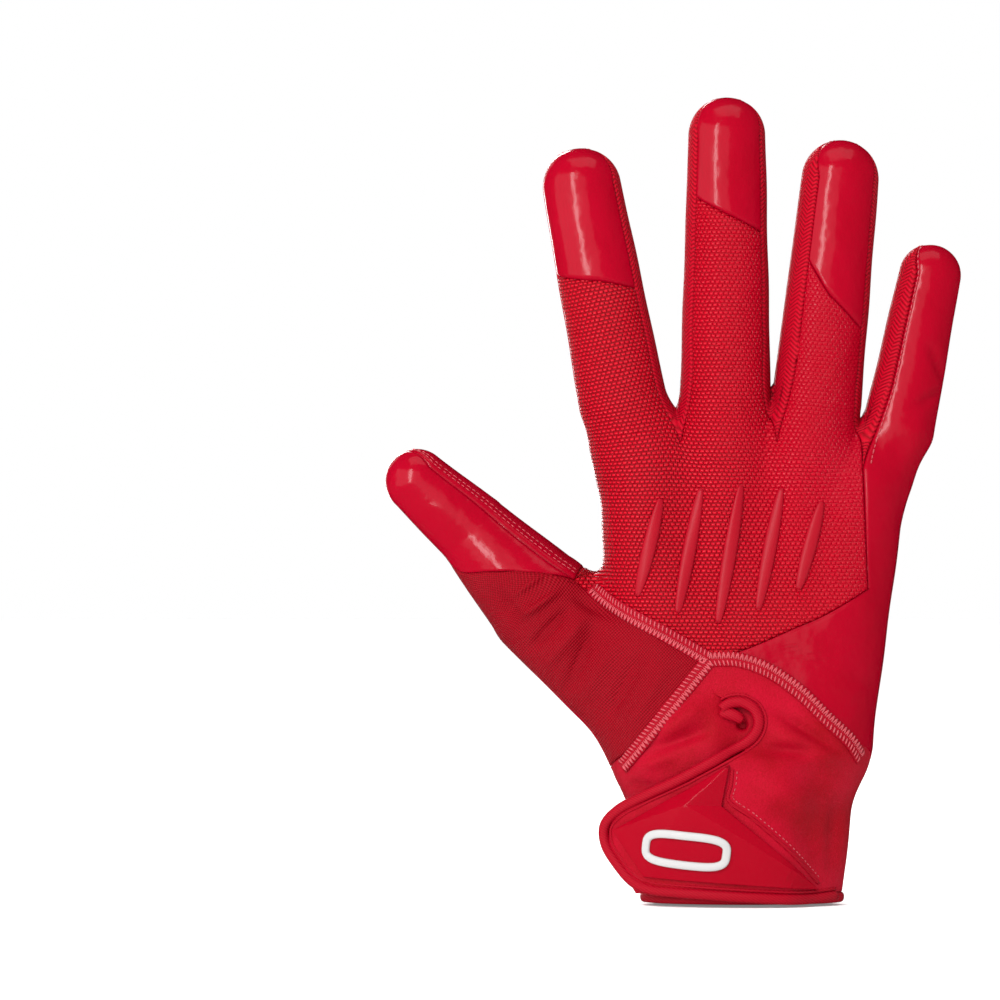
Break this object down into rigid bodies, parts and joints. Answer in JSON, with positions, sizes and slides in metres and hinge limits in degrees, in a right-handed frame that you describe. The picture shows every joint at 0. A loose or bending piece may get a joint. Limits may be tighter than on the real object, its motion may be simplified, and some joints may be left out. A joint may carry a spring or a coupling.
{
  "type": "football receiver glove",
  "caption": "Right-hand sport glove with grip palm, textured back, knit finger sides, flat-seamed wrist and a pull-tab closure.",
  "frame": {"origin": "centre of the wrist opening, at the hem", "axes": "+Z towards the fingertips, -Y faces the back of the hand, -X the thumb side"},
  "size_m": [0.1726, 0.0517, 0.2416],
  "materials": {
    "palm_material": "smooth, tacky, satin gloss",
    "textured_panel": "embossed with small slanted cells",
    "knit": "fine stretch knit",
    "cuff_fabric": "smooth neoprene",
    "binding": "stitched binding and flat seams",
    "flex_bar": "smooth, satin",
    "tab": "moulded, satin",
    "emblem": "moulded, matte"
  },
  "bodies": {
    "root": {"back_panel": "textured_panel", "cuff_flap": "cuff_fabric", "cuff_under": "cuff_fabric", "emblem": "emblem", "flap_binding": "binding", "flex_bar_1": "flex_bar", "flex_bar_2": "flex_bar", "flex_bar_3": "flex_bar", "flex_bar_4": "flex_bar", "flex_bar_5": "flex_bar", "fourchette_index_middle": "knit", "fourchette_middle_ring": "knit", "fourchette_ring_little": "knit", "hem_binding": "binding", "keyhole_binding": "binding", "palm_panel": "palm_material", "seam_cuff_left": "binding", "seam_cuff_right": "binding", "seam_palm_radial": "binding", "seam_palm_ulnar": "binding", "seam_thumb": "binding", "tab_plate": "tab", "thumb_back": "knit", "thumb_gusset": "textured_panel", "thumb_panel": "palm_material", "thumb_tip": "palm_material", "tip_index": "palm_material", "tip_middle": "palm_material", "tip_ring": "palm_material"}
  },
  "joints": []
}
